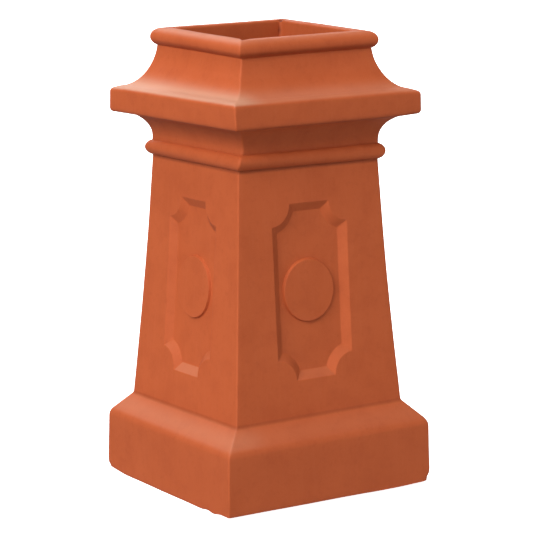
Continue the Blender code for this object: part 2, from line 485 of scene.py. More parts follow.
    def _relief(self, tree: Tree, place: Socket) -> Socket:
        """Return the surface's fine relief.

        Args:
            tree: The material's tree.
            place: The Object coordinates.

        Returns:
            The normal of shallow dimples under a fine grain.
        """
        under: dict[str, Socket] = {}
        for relief in self.reliefs:
            pattern = {"Vector": place, "Scale": 1000 / relief.size_mm, "Detail": relief.detail}
            height = add(tree, "ShaderNodeTexNoise", pattern)
            bump = {"Height": height, "Strength": relief.strength, "Distance": relief.depth}
            under = {"Normal": add(tree, "ShaderNodeBump", bump | under)}
        return under["Normal"]


@dataclass(frozen=True)
class Sizes:
    """Real sizes of the pot in metres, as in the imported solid, and how softly its edges are rounded."""

    foot_half: float = CAD_BOX[1][0]
    top: float = CAD_BOX[1][2]
    plinth_top_half: float = 0.1781
    plinth_height: float = 0.0957
    splay_height: float = 0.0314
    shaft_foot_half: float = 0.1482
    neck_half: float = 0.1232
    shaft_height: float = 0.369
    bead_radius: float = 0.0125
    bead_projection: float = 0.0086
    neck_height: float = 0.0065
    cove_reach: float = 0.0328
    cove_height: float = 0.0345
    soffit_step: float = 0.0007
    slab_half: float = 0.1686
    slab_thickness: float = 0.0375
    ledge_width: float = 0.0129
    ledge_fall: float = 0.0035
    cavetto_top_half: float = 0.1152
    roll_radius: float = 0.0133
    mouth_half: float = 0.0961
    lip_width: float = 0.014
    throat_rise: float = 0.030
    wall: float = 0.0215
    cornice_wall: float = 0.040
    cornice_hollow_height: float = 0.020
    foot_draft: float = 0.0006
    slab_foot_draft: float = 0.0004
    slab_top_draft: float = 0.0006
    foot_arris: float = 0.0022
    splay_arris: float = 0.008
    splay_crease: float = 0.004
    slab_foot_arris: float = 0.0075
    slab_top_arris: float = 0.0055
    lip_arris: float = 0.004
    inner_edge: float = 0.006
    inner_corner: float = 0.0055
    plinth_corner: float = 0.0028
    shaft_corner: float = 0.0022
    neck_corner: float = 0.0036
    slab_corner: float = 0.0024
    rim_corner: float = 0.0020

    @property
    def splay_top(self) -> float:
        """Return the height at which the shaft starts."""
        return self.plinth_height + self.splay_height

    @property
    def shaft_top(self) -> float:
        """Return the height at which the bead starts."""
        return self.splay_top + self.shaft_height

    @property
    def bead_reach_back(self) -> float:
        """Return how far the bead's centre lies behind the face of the neck."""
        return self.bead_radius - self.bead_projection

    @property
    def bead_level(self) -> float:
        """Return the height of the bead's centre."""
        return self.shaft_top + math.sqrt(self.bead_radius**2 - self.bead_reach_back**2)

    @property
    def cove_foot(self) -> float:
        """Return the height at which the cove leaves the neck."""
        return 2 * self.bead_level - self.shaft_top + self.neck_height

    @property
    def soffit(self) -> float:
        """Return the height of the slab's underside."""
        return self.cove_foot + self.cove_height + self.soffit_step

    @property
    def slab_top(self) -> float:
        """Return the height of the slab's upper arris."""
        return self.soffit + self.slab_thickness

    @property
    def cavetto_foot(self) -> Point:
        """Return the half width and the height at which the cavetto leaves the slab's ledge."""
        return self.slab_half - self.ledge_width, self.slab_top + self.ledge_fall

    @property
    def roll_level(self) -> float:
        """Return the height of the roll's centre."""
        return self.top - self.roll_radius

    @property
    def roll_half(self) -> float:
        """Return the half width to the roll's centre."""
        return self.mouth_half + self.lip_width

    def shaft_half(self, level: float) -> float:
        """Return the half width of the straight shaft at a height."""
        return mix(self.shaft_foot_half, self.neck_half, (level - self.splay_top) / self.shaft_height)

    def outer_corner(self, level: float) -> float:
        """Return how much the outside's upright corners are rounded.

        Args:
            level: The height.

        Returns:
            The corner's radius, which changes softly from one moulding to the next.
        """
        radius = self.plinth_corner
        radius = mix(radius, self.shaft_corner, smooth(level, self.plinth_height, self.splay_top))
        radius = mix(radius, self.neck_corner, smooth(level, self.shaft_top, self.bead_level))
        radius = mix(radius, self.slab_corner, smooth(level, self.cove_foot, self.soffit))
        return mix(radius, self.rim_corner, smooth(level, self.slab_top, self.cavetto_foot[1]))


@dataclass
class Mouldings:
    """The run of mouldings that closes the pot above and below the shaft's faces, inside and out."""

    sizes: Sizes
    face_steps: int = 44
    corner_steps: int = 6
    bead_steps: int = 14
    cove_steps: int = 14
    cavetto_steps: int = 28
    roll_steps: int = 20
    splay_steps: int = 7
    arris_steps: int = 6
    foot_steps: int = 5
    inner_steps: int = 4
    meeting_halvings: int = 40
    outer_piece: float = 0.007
    inner_piece: float = 0.014
    corner_wear: tuple[float, float, float, float] = (1.0, 1.0, 1.0, 2.4)

    def upper_outside(self) -> Outline:
        """Draw the outside above the shaft.

        Returns:
            The line from the shaft's top edge up to the crown of the roll.
        """
        s = self.sizes
        turn = math.degrees(math.acos(s.bead_reach_back / s.bead_radius))
        bead_centre = (s.neck_half - s.bead_reach_back, s.bead_level)
        bead = arc(bead_centre, (s.bead_radius,) * 2, -turn, turn, self.bead_steps)
        cove_half = s.neck_half + s.cove_reach
        cove = arc((cove_half, s.cove_foot), (s.cove_reach, s.cove_height), 180, 90, self.cove_steps)
        slab_edge = (s.slab_half, (s.soffit + s.slab_top) / 2)
        slab_foot = (s.slab_half - s.slab_foot_draft, s.soffit)
        foot = soften([(cove_half, s.soffit), slab_foot, slab_edge], s.slab_foot_arris, self.arris_steps)
        slab_crown = (s.slab_half - s.slab_top_draft, s.slab_top)
        ledge = soften([slab_edge, slab_crown, s.cavetto_foot], s.slab_top_arris, self.arris_steps)
        reach = s.cavetto_foot[0] - s.cavetto_top_half
        height = s.roll_level - s.cavetto_foot[1]
        underside = self._roll_underside(reach, height)
        roll = arc((s.roll_half, s.roll_level), (s.roll_radius,) * 2, underside, 90, self.roll_steps)
        meeting = math.degrees(math.asin((s.roll_level - roll[0][1]) / height))
        cavetto_centre = (s.cavetto_foot[0], s.roll_level)
        cavetto = arc(cavetto_centre, (reach, height), 270, 180 + meeting, self.cavetto_steps)
        return bead + cove + foot[1:-1] + ledge[1:-1] + cavetto + roll[1:]

    def _roll_underside(self, reach: float, height: float) -> float:
        """Return the angle in degrees at which the roll's underside meets the cavetto.

        Args:
            reach: The cavetto's half width as an ellipse.
            height: The cavetto's half height.

        Returns:
            An angle below the roll's own level.
        """
        s = self.sizes
        low, high = -90.0, 0.0
        for _ in range(self.meeting_halvings):
            middle = (low + high) / 2
            half = s.roll_half + s.roll_radius * math.cos(math.radians(middle))
            drop = -s.roll_radius * math.sin(math.radians(middle)) / height
            if half > s.cavetto_foot[0] - reach * math.sqrt(1 - drop * drop):
                high = middle
            else:
                low = middle
        return (low + high) / 2

    def inner_wall(self) -> Outline:
        """Draw the flue's straight runs.

        Returns:
            The line from the foot's inner edge up to the hollow behind the slab.
        """
        s = self.sizes
        guide = [(s.foot_half, 0.0), (s.plinth_top_half, s.plinth_height), (s.shaft_foot_half, s.splay_top),
                 (s.neck_half, s.shaft_top), (s.neck_half, s.cove_foot)]
        wall = inset_line(guide, s.wall)
        wall[0] = (wall[0][0], 0.0)
        hollow_half = s.slab_half - s.cornice_wall
        slab_middle = s.slab_top - s.slab_thickness / 2
        rise = s.cornice_hollow_height / 2
        return wall + [(hollow_half, slab_middle - rise), (hollow_half, slab_middle + rise)]

    def inside(self) -> Outline:
        """Draw the lip and the inside.

        Returns:
            The line from the roll's crown down to the foot's inner edge.
        """
        s = self.sizes
        throat = (s.mouth_half, s.slab_top + s.throat_rise)
        lip = soften([(s.roll_half, s.top), (s.mouth_half, s.top), throat], s.lip_arris, self.arris_steps)
        flue = soften([throat] + list(reversed(self.inner_wall())), s.inner_edge, self.inner_steps)
        return lip[1:-1] + flue

    def lower_outside(self) -> Outline:
        """Draw the outside below the shaft.

        Returns:
            The line from the foot up to the shaft's bottom edge.
        """
        s = self.sizes
        foot_line = (s.foot_half, 3 * s.foot_arris)
        foot_edge = (s.foot_half - s.foot_draft, 0.0)
        foot = soften([self.inner_wall()[0], foot_edge, foot_line], s.foot_arris, self.foot_steps)
        splay = soften([foot_line, (s.plinth_top_half, s.plinth_height), (s.shaft_foot_half, s.splay_top)],
                       s.splay_arris, self.splay_steps)
        start = s.splay_top + s.splay_crease
        crease_end = (s.shaft_half(start), start)
        crease = soften([splay[-2], splay[-1], crease_end], s.splay_crease, self.foot_steps)
        return foot[1:-1] + splay[:-2] + crease

    def plan(self) -> bpy.types.Object:
        """Make the square plan that the run is swept round.

        A point's place is the square's sharp edge, with half widths of one. Its "bend" points out of the
        rounded corner, "wear" widens that corner inside the pot, and "crest" is one in the corner's middle.

        Returns:
            The plan's points, one for each column of the sweep and the first one again.
        """
        mesh_edit = bmesh.new()
        bend = mesh_edit.verts.layers.float_vector.new("bend")
        wear = mesh_edit.verts.layers.float.new("wear")
        crest = mesh_edit.verts.layers.float.new("crest")
        columns = [(mix(-1.0, 1.0, share), 0.0) for share in face_shares(self.face_steps)]
        columns += [(1.0, math.pi / 2 * step / self.corner_steps) for step in range(1, self.corner_steps)]
        for side in Side:
            turn = Matrix.Rotation(side.turn, 3, "Z")
            wears = self.corner_wear[side.value - 1], self.corner_wear[side.value]
            for along, angle in columns:
                vert = mesh_edit.verts.new(turn @ Vector((along, -1.0, 0.0)))
                vert[bend] = turn @ Vector((math.sin(angle), -math.cos(angle), 0.0))
                vert[wear] = mix(wears[0], wears[1], (along + 1) / 2)
                vert[crest] = math.sin(2 * angle)
        mesh_edit.verts.ensure_lookup_table()
        first = mesh_edit.verts[0]
        last = mesh_edit.verts.new(first.co)
        for layer in (bend, wear, crest):
            last[layer] = first[layer]
        return new_object("square_plan", mesh_edit)

    def build(self, clay: bpy.types.Material) -> tuple[bpy.types.Object, Outline]:
        """Sweep the run round the square plan.

        Args:
            clay: The material.

        Returns:
            The open mesh and the run's own points, from the shaft's top edge to its bottom edge.
        """
        upper = divide(self.upper_outside(), self.outer_piece)
        inner = divide(self.inside(), self.inner_piece)
        lower = divide(self.lower_outside(), self.outer_piece)
        rows = [(point, False) for point in upper] + [(point, True) for point in inner]
        rows += [(point, False) for point in lower]
        rows = [row for row, before in zip(rows, [None] + rows) if before is None
                or math.dist(row[0], before[0]) > 2 * WELD_DISTANCE]
        mesh_edit = bmesh.new()
        corner = mesh_edit.verts.layers.float.new("corner")
        within = mesh_edit.verts.layers.float.new("within")
        for (half, level), inside in rows:
            vert = mesh_edit.verts.new((half, 0.0, level))
            vert[corner] = self.sizes.inner_corner if inside else self.sizes.outer_corner(level)
            vert[within] = float(inside)
        item = new_object("moulding_run", mesh_edit)
        plan = self.plan()
        values = {"Plan": plan, "Rows": len(rows), "Columns": len(plan.data.vertices), "Clay": clay}
        run_nodes(item, self.sweep_nodes(), values)
        bpy.data.objects.remove(plan)
        return item, [row[0] for row in rows]

    def sweep_nodes(self) -> Tree:
        """Build the tree that sweeps the object's points round the points of a plan.

        Returns:
            The tree, with the plan, the numbers of rows and columns and the clay as its inputs.
        """
        inputs = {"Plan": "NodeSocketObject", "Rows": "NodeSocketInt", "Columns": "NodeSocketInt",
                  "Clay": "NodeSocketMaterial"}
        tree, given = node_group("Square sweep", inputs)
        run = given["Geometry"]
        plan = add(tree, "GeometryNodeObjectInfo", {"Object": given["Plan"]}, output="Geometry")
        counts = {"Vertices X": given["Columns"], "Vertices Y": given["Rows"]}
        grid = add(tree, "GeometryNodeMeshGrid", counts)
        index = add(tree, "GeometryNodeInputIndex")
        column = add(tree, "ShaderNodeMath", (index, given["Rows"]), operation="DIVIDE")
        column = add(tree, "ShaderNodeMath", (column,), operation="FLOOR")
        row = add(tree, "ShaderNodeMath", (index, given["Rows"]), operation="MODULO")
        place = add(tree, "GeometryNodeInputPosition")
        wanted = {"edge": (plan, column, "FLOAT_VECTOR"), "point": (run, row, "FLOAT_VECTOR"),
                  "bend": (plan, column, "FLOAT_VECTOR"), "wear": (plan, column, "FLOAT"),
                  "crest": (plan, column, "FLOAT"), "corner": (run, row, "FLOAT"),
                  "within": (run, row, "FLOAT")}
        stored = {}
        for name, (source, number, kind) in wanted.items():
            value = place
            if name not in ("edge", "point"):
                value = add(tree, "GeometryNodeInputNamedAttribute", {"Name": name}, data_type=kind)
            sampled = {"Geometry": source, "Value": value, "Index": number}
            stored[name] = add(tree, "GeometryNodeSampleIndex", sampled, data_type=kind, domain="POINT")
        half = add(tree, "ShaderNodeSeparateXYZ", (stored["point"],), output="X")
        level = add(tree, "ShaderNodeSeparateXYZ", (stored["point"],), output="Z")
        worn = add(tree, "ShaderNodeMath", (stored["corner"], stored["wear"]), operation="MULTIPLY")
        sharp, blunt = MIX_NUMBERS
        corners = {"Factor": stored["within"], sharp: stored["corner"], blunt: worn}
        radius = add(tree, "ShaderNodeMix", corners, data_type="FLOAT")
        flat = add(tree, "ShaderNodeMath", (half, radius), operation="SUBTRACT")
        straight = add(tree, "ShaderNodeVectorMath", {0: stored["edge"], "Scale": flat}, operation="SCALE")
        rounded = add(tree, "ShaderNodeVectorMath", {0: stored["bend"], "Scale": radius}, operation="SCALE")
        on_plan = add(tree, "ShaderNodeVectorMath", (straight, rounded), operation="ADD")
        lift = add(tree, "ShaderNodeCombineXYZ", {"Z": level})
        swept = add(tree, "ShaderNodeVectorMath", (on_plan, lift), operation="ADD")
        moved = add(tree, "GeometryNodeSetPosition", {"Geometry": grid, "Position": swept})
        seam = add(tree, "ShaderNodeMath", (stored["crest"], stored["within"]), operation="MULTIPLY")
        mark = {"Geometry": moved, "Name": "seam", "Value": seam}
        marked = add(tree, "GeometryNodeStoreNamedAttribute", mark, data_type="FLOAT", domain="POINT")
        welded = add(tree, "GeometryNodeMergeByDistance", {"Geometry": marked, "Distance": WELD_DISTANCE})
        real = add(tree, "GeometryNodeRealizeInstances", {"Geometry": welded})
        dressed = add(tree, "GeometryNodeSetMaterial", {"Geometry": real, "Material": given["Clay"]})
        add(tree, "NodeGroupOutput", {"Geometry": dressed})
        return tree


@dataclass
class Panel:
    """A sunk panel with scalloped corners and a low round boss, drawn in the plane of its face."""

    half_width: float = 0.0667
    half_height: float = 0.1305
    scallop_radius: float = 0.032
    bevel_width: float = 0.0128
    depth: float = 0.0085
    boss_radius: float = 0.0457
    boss_roundness: float = 0.96
    boss_height: float = 0.0046
    boss_edge: float = 0.0012
    edge_softness: float = 0.0010
    boss_softness: float = 0.0006
    margin: float = 0.0015
    scallop_steps: int = 8
    edge_steps: int = 4
    boss_steps: int = 3

    def section(self) -> Outline:
        """Draw the panel's edge.

        Returns:
            Pairs of inset and depth, from the face to the floor.
        """
        corners = [(-self.margin, 0.0), (0.0, 0.0), (self.bevel_width, self.depth),
                   (self.bevel_width + self.margin, self.depth)]
        return soften(corners, self.edge_softness, self.edge_steps)

    def boss_section(self) -> Outline:
        """Draw the boss's edge.

        Returns:
            Pairs of radius and depth, from the floor to the boss's flat top.
        """
        top = self.depth - self.boss_height
        foot = self.boss_radius + self.boss_edge
        corners = [(foot + self.margin, self.depth), (foot, self.depth), (self.boss_radius, top),
                   (self.boss_radius - self.margin, top)]
        return soften(corners, self.boss_softness, self.boss_steps)

    def ring(self, inset: float, face_steps: int, height_steps: int) -> Outline:
        """Return the outline moved inwards, with its points shared out as the face's edge is.

        Args:
            inset: How far the outline is moved inwards.
            face_steps: The pieces along the top and along the bottom.
            height_steps: The pieces along each upright side.

        Returns:
            The points, from the bottom left corner's middle, anticlockwise.
        """
        points: Outline = []
        radius = self.scallop_radius + inset
        trim = math.degrees(math.asin(inset / radius))
        corners = ((-1, -1, 45, face_steps), (1, -1, 135, height_steps), (1, 1, 225, face_steps),
                   (-1, 1, 315, height_steps))
        for index, (sign_x, sign_y, middle, steps) in enumerate(corners):
            centre = (sign_x * self.half_width, sign_y * self.half_height)
            leaving = arc(centre, (radius, radius), middle, middle - 45 + trim, self.scallop_steps)
            after = corners[(index + 1) % 4]
            next_centre = (after[0] * self.half_width, after[1] * self.half_height)
            arriving = arc(next_centre, (radius, radius), after[2] + 45 - trim, after[2], self.scallop_steps)
            straight = steps - 2 * self.scallop_steps
            start, end = leaving[-1], arriving[0]
            for step in range(1, straight):
                t = step / straight
                leaving.append((mix(start[0], end[0], t), mix(start[1], end[1], t)))
            points += leaving + arriving[:-1]
        return points


@dataclass
class ShaftFaces:
    """The four battered faces of the shaft with their panels, and the rounded corners between them."""

    sizes: Sizes
    panel: Panel
    face_steps: int
    corner_steps: int
    foot: float
    height_steps: int = 60
    field_rings: int = 8
    floor_rings: int = 6
    boss_rings: int = 4
    front_drift: float = -0.0036
    left_drift: float = 0.0012
    front_boss_aside: float = -0.0031
    left_boss_aside: float = 0.0030

    def edge_ring(self) -> Outline:
        """Draw the face's own edge.

        Returns:
            Its points as (along, height), anticlockwise from the bottom left.
        """
        s = self.sizes
        rise = s.shaft_top - self.foot
        shares = face_shares(self.face_steps)[:-1]
        steps = [step / self.height_steps for step in range(self.height_steps)]
        low, high = self._flat_half(self.foot), self._flat_half(s.shaft_top)
        bottom = [(mix(-low, low, share), self.foot) for share in shares]
        right = [(self._flat_half(self.foot + rise * step), self.foot + rise * step) for step in steps]
        top = [(mix(high, -high, share), s.shaft_top) for share in shares]
        left = [(-self._flat_half(s.shaft_top - rise * step), s.shaft_top - rise * step) for step in steps]
        return bottom + right + top + left

    def _flat_half(self, level: float) -> float:
        """Return half the width of the face's flat part, between its rounded corners, at a height."""
        return self.sizes.shaft_half(level) - self.sizes.outer_corner(level)

    def rings(self, drift: float, aside: float) -> list[list[Place]]:
        """Draw one face as closed rings, from its edge to the boss's middle.

        Args:
            drift: How far the panel sits to the right of the face's middle.
            aside: How far the boss sits to the right of the panel's middle.

        Returns:
            The rings as (along, height, depth), each with as many points as the others.
        """
        s = self.sizes
        middle = (s.splay_top + s.shaft_top) / 2
        panel_rings = []
        for inset, depth in self.panel.section():
            ring = self.panel.ring(inset, self.face_steps, self.height_steps)
            panel_rings.append([(x + drift, middle + y, depth) for x, y in ring])
        edge = [(x, z, 0.0) for x, z in self.edge_ring()]
        last = panel_rings[-1]
        angles = [math.atan2(z - middle, x - drift) for x, z, _ in last]
        boss = self.panel.boss_section()
        inner_radius, top = boss[-1]
        boss += [(inner_radius * (1 - step / self.boss_rings), top) for step in range(1, self.boss_rings)]
        narrow = self.panel.boss_roundness
        circles = [[(drift + aside + narrow * radius * math.cos(a), middle + radius * math.sin(a), depth)
                    for a in angles] for radius, depth in boss]
        field_part = self._between(edge, panel_rings[0], self.field_rings)
        floor_part = self._between(last, circles[0], self.floor_rings)
        return [edge] + field_part + panel_rings + floor_part + circles

    @staticmethod
    def _between(start: list[Place], end: list[Place], steps: int) -> list[list[Place]]:
        """Draw rings between two rings.

        Args:
            start: The first ring.
            end: The last ring.
            steps: How many steps lead from one to the other.

        Returns:
            The rings without the first and the last.
        """
        shares = [step / steps for step in range(1, steps)]
        return [[tuple(mix(a, b, share) for a, b in zip(one, other)) for one, other in zip(start, end)]
                for share in shares]

    def build(self) -> bpy.types.Object:
        """Build the faces and the corners between them.

        Returns:
            One open mesh.
        """
        mesh_edit = bmesh.new()
        for side in Side:
            self._add_face(mesh_edit, side)
            self._add_corner(mesh_edit, side)
        return new_object("shaft_faces", mesh_edit)

    def _add_face(self, mesh_edit: bmesh.types.BMesh, side: Side) -> None:
        """Add one face with its panel.

        Args:
            mesh_edit: The edit mesh that takes the face.
            side: Which face it is.
        """
        moved = {Side.FRONT: (self.front_drift, self.front_boss_aside),
                 Side.LEFT: (self.left_drift, self.left_boss_aside)}
        drift, aside = moved.get(side, (0.0, 0.0))
        turn = Matrix.Rotation(side.turn, 3, "Z")
        rows = [[mesh_edit.verts.new(turn @ Vector((x, depth - self.sizes.shaft_half(z), z)))
                 for x, z, depth in ring] for ring in self.rings(drift, aside)]
        count = len(rows[0])
        for outer, inner in zip(rows, rows[1:]):
            for index in range(count):
                after = (index + 1) % count
                mesh_edit.faces.new((outer[index], outer[after], inner[after], inner[index]))
        mesh_edit.faces.new(rows[-1])

    def _add_corner(self, mesh_edit: bmesh.types.BMesh, side: Side) -> None:
        """Add the rounded upright corner at the right of one face.

        Args:
            mesh_edit: The edit mesh that takes the corner.
            side: Which face it is.
        """
        s = self.sizes
        turn = Matrix.Rotation(side.turn, 3, "Z")
        columns = []
        for step in range(self.corner_steps + 1):
            angle = math.pi / 2 * step / self.corner_steps
            column = []
            for rise in range(self.height_steps + 1):
                level = mix(self.foot, s.shaft_top, rise / self.height_steps)
                radius = s.outer_corner(level)
                x = self._flat_half(level) + radius * math.sin(angle)
                y = -self._flat_half(level) - radius * math.cos(angle)
                column.append(mesh_edit.verts.new(turn @ Vector((x, y, level))))
            columns.append(column)
        for left, right in zip(columns, columns[1:]):
            for index in range(self.height_steps):
                mesh_edit.faces.new((left[index], right[index], right[index + 1], left[index + 1]))


@dataclass(frozen=True)
class Lean:
    """How far one level of the pot has moved off the regular form.

    The twist is in degrees, anticlockwise from above, the shift is along X and Y, the rise is the height
    gained along X and along Y, as a share of the way, and the drop is how far the whole level sank.
    """

    level: float
    twist: float = 0.0
    shift: Point = (0.0, 0.0)
    rise: Point = (0.0, 0.0)
    drop: float = 0.0


@dataclass(frozen=True)
class Knock:
    """A small place where an arris is worn or chipped away: where, how wide, and how far the clay gave."""

    place: Place
    reach: float
    push: Place


@dataclass
class HandFinish:
    """What hand pressing, drying, firing and handling did to the regular form."""

    leans: tuple[Lean, ...] = (
        Lean(level=0.0, twist=-0.5),
        Lean(level=0.0925, twist=-0.4, shift=(0.0004, -0.0003), rise=(0.0074, -0.0074)),
        Lean(level=0.1295, twist=0.4, shift=(-0.0005, 0.0004), rise=(0.0074, -0.0074)),
        Lean(level=0.4945, twist=-0.2, shift=(0.0004, -0.0003), rise=(-0.0080, -0.0080)),
        Lean(level=0.5075, twist=1.0, shift=(0.0003, -0.0002), rise=(-0.0070, -0.0070)),
        Lean(level=0.5280, twist=1.6, shift=(0.0009, -0.0006), rise=(-0.0055, -0.0055)),
        Lean(level=0.5625, twist=2.6, shift=(0.0007, -0.0004), rise=(-0.0030, -0.0030)),
        Lean(level=0.5985, twist=2.2, shift=(0.0005, -0.0003), rise=(-0.0030, -0.0030)),
        Lean(level=0.6300, twist=1.2, shift=(0.0006, -0.0004), rise=(-0.0030, -0.0030)),
        Lean(level=0.6640, twist=0.9, shift=(0.0008, -0.0005), rise=(0.0092, 0.0167), drop=0.0038),
    )
    knocks: tuple[Knock, ...] = (
        Knock(place=(0.180, -0.180, 0.004), reach=0.013, push=(-0.0032, 0.0032, 0.0)),
        Knock(place=(-0.180, 0.180, 0.0), reach=0.010, push=(0.0026, -0.0015, 0.0024)),
        Knock(place=(-0.180, 0.180, 0.0), reach=0.065, push=(0.0, 0.0, 0.0034)),
        Knock(place=(0.180, -0.180, 0.0), reach=0.070, push=(0.0, 0.0, 0.0016)),
        Knock(place=(-0.180, -0.118, 0.0), reach=0.018, push=(0.0010, 0.0, 0.0020)),
        Knock(place=(-0.172, -0.172, 0.5615), reach=0.010, push=(0.0009, 0.0009, 0.0)),
        Knock(place=(0.168, -0.168, 0.5610), reach=0.045, push=(-0.0002, 0.0002, 0.0018)),
        Knock(place=(0.168, -0.168, 0.5990), reach=0.052, push=(-0.0002, 0.0002, -0.0019)),
        Knock(place=(-0.168, 0.168, 0.5990), reach=0.045, push=(0.0002, -0.0002, -0.0012)),
    )
    sag: float = 0.0017
    front_lift: float = 0.0034
    front_lift_reach: Limits = (0.130, 0.158)
    wave_height: float = 0.0006
    wave_length: float = 0.095
    wave_start: Place = (3.1, 7.7, 1.3)
    ripple_height: float = 0.00012
    ripple_length: float = 0.024
    seam_depth: float = 0.0028
    seam_length: float = 0.007
    seam_limits: Limits = (-0.25, 0.2)
    outside_depth: float = 0.010

    def apply(self, mesh_edit: bmesh.types.BMesh, sizes: Sizes) -> None:
        """Bend, sag, ripple and wear the whole mesh, and keep it in the solid's own box.

        The outside keeps its heights of the regular form in "level", and the inside has its own value there.

        Args:
            mesh_edit: The closed mesh, with its inner corners marked in "seam".
            sizes: The regular form's sizes.
        """
        seam = mesh_edit.verts.layers.float["seam"]
        level = mesh_edit.verts.layers.float.new("level")
        mesh_edit.normal_update()
        moves = []
        for vert in mesh_edit.verts:
            outside = max(abs(vert.co.x), abs(vert.co.y)) > sizes.shaft_half(vert.co.z) - self.outside_depth
            vert[level] = vert.co.z if outside else INSIDE_LEVEL
            rough = smooth(noise.noise(vert.co / self.seam_length), *self.seam_limits) * vert[seam]
            push = self._waves(vert.co) - rough * self.seam_depth
            moves.append(self._settle(vert.co, sizes) + vert.normal * push + self._worn(vert.co))
            vert[seam] = rough
        low, high = CAD_BOX
        for vert, place in zip(mesh_edit.verts, moves):
            vert.co = [min(max(value, least), most) for value, least, most in zip(place, low, high)]

    def _settle(self, place: Vector, sizes: Sizes) -> Vector:
        """Return where a point of the regular form went as the soft clay settled.

        Args:
            place: The point.
            sizes: The regular form's sizes.

        Returns:
            The point after the sag of the shaft, the lean of its level and the lift of the front foot.
        """
        share = min(max((place.z - sizes.splay_top) / sizes.shaft_height, 0.0), 1.0)
        keep = 1 - self.sag * math.sin(math.pi * share) / sizes.shaft_half(place.z)
        flat = Vector((place.x * keep, place.y * keep, 0.0))
        lift = self.front_lift * smooth(-place.y, *self.front_lift_reach)
        lift *= max(1 - place.z / sizes.plinth_height, 0.0)
        above = (index for index, lean in enumerate(self.leans) if lean.level > place.z)
        after = next(above, len(self.leans) - 1)
        one, other = self.leans[after - 1], self.leans[after]
        share = min(max((place.z - one.level) / (other.level - one.level), 0.0), 1.0)
        flat.rotate(Matrix.Rotation(math.radians(mix(one.twist, other.twist, share)), 3, "Z"))
        shift = [mix(a, b, share) for a, b in zip(one.shift, other.shift)]
        rise = [mix(a, b, share) for a, b in zip(one.rise, other.rise)]
        level = place.z + lift - mix(one.drop, other.drop, share) + rise[0] * place.x + rise[1] * place.y
        return Vector((flat.x + shift[0], flat.y + shift[1], level))

    def _waves(self, place: Vector) -> float:
        """Return how far the surface swells or sinks.

        Args:
            place: A point of the regular form.

        Returns:
            The height of a broad swell under a fine ripple, outwards.
        """
        broad = noise.noise(place / self.wave_length + Vector(self.wave_start))
        fine = noise.noise(place / self.ripple_length)
        return broad * self.wave_height + fine * self.ripple_height

    def _worn(self, place: Vector) -> Vector:
        """Return how far a point was pushed in by the knocks round it.

        Args:
            place: A point of the regular form.

        Returns:
            The sum of the pushes, each of which fades towards its knock's reach.
        """
        move = Vector((0.0, 0.0, 0.0))
        for knock in self.knocks:
            away = (place - Vector(knock.place)).length
            move += Vector(knock.push) * (1 - smooth(away, 0.0, knock.reach))
        return move


@dataclass
class ChimneyPot:
    """The whole pot: the mouldings and the shaft's faces welded into one body of clay."""

    sizes: Sizes = field(default_factory=Sizes)
    panel: Panel = field(default_factory=Panel)
    finish: HandFinish = field(default_factory=HandFinish)
    sharp_degrees: float = 40.0

    def build(self, clay: bpy.types.Material) -> bpy.types.Object:
        """Build the pot and put it on its body.

        Args:
            clay: The material.

        Returns:
            The finished piece.
        """
        mouldings = Mouldings(self.sizes)
        run, rows = mouldings.build(clay)
        shaft = ShaftFaces(self.sizes, self.panel, mouldings.face_steps, mouldings.corner_steps, rows[-1][1])
        pot = self._weld(run, shaft.build())
        pot.data.materials.append(clay)
        pot.data.shade_smooth()
        pot.data.set_sharp_from_angle(angle=math.radians(self.sharp_degrees))
        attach(pot, ROOT_BODY)
        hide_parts(CAD_NODE)
        return pot

    def _weld(self, *items: bpy.types.Object) -> bpy.types.Object:
        """Join meshes that share their edges, and finish the body by hand.

        Args:
            items: The open meshes, which are removed.

        Returns:
            One closed body.
        """
        mesh_edit = bmesh.new()
        for item in items:
            mesh_edit.from_mesh(item.data)
            bpy.data.objects.remove(item, do_unlink=True)
        bmesh.ops.remove_doubles(mesh_edit, verts=mesh_edit.verts, dist=WELD_DISTANCE)
        bmesh.ops.recalc_face_normals(mesh_edit, faces=mesh_edit.faces)
        self.finish.apply(mesh_edit, self.sizes)
        open_edges = sum(1 for edge in mesh_edit.edges if not edge.is_manifold)
        LOG.info("welded body: %d faces, %d open edges, %.5f cubic metres", len(mesh_edit.faces), open_edges,
                 mesh_edit.calc_volume(signed=True))
        return new_object("terracotta_pot", mesh_edit)


@dataclass(frozen=True)
class Lamp:
    """A far soft light: where it stands as seen from above and from the side, its width and its strength.

    An azimuth of zero is in front of the pot and 270 degrees is on its left.
    """

    name: str
    azimuth: float
    elevation: float
    width: float
    strength: float
    colour: str = "#FFFFFF"


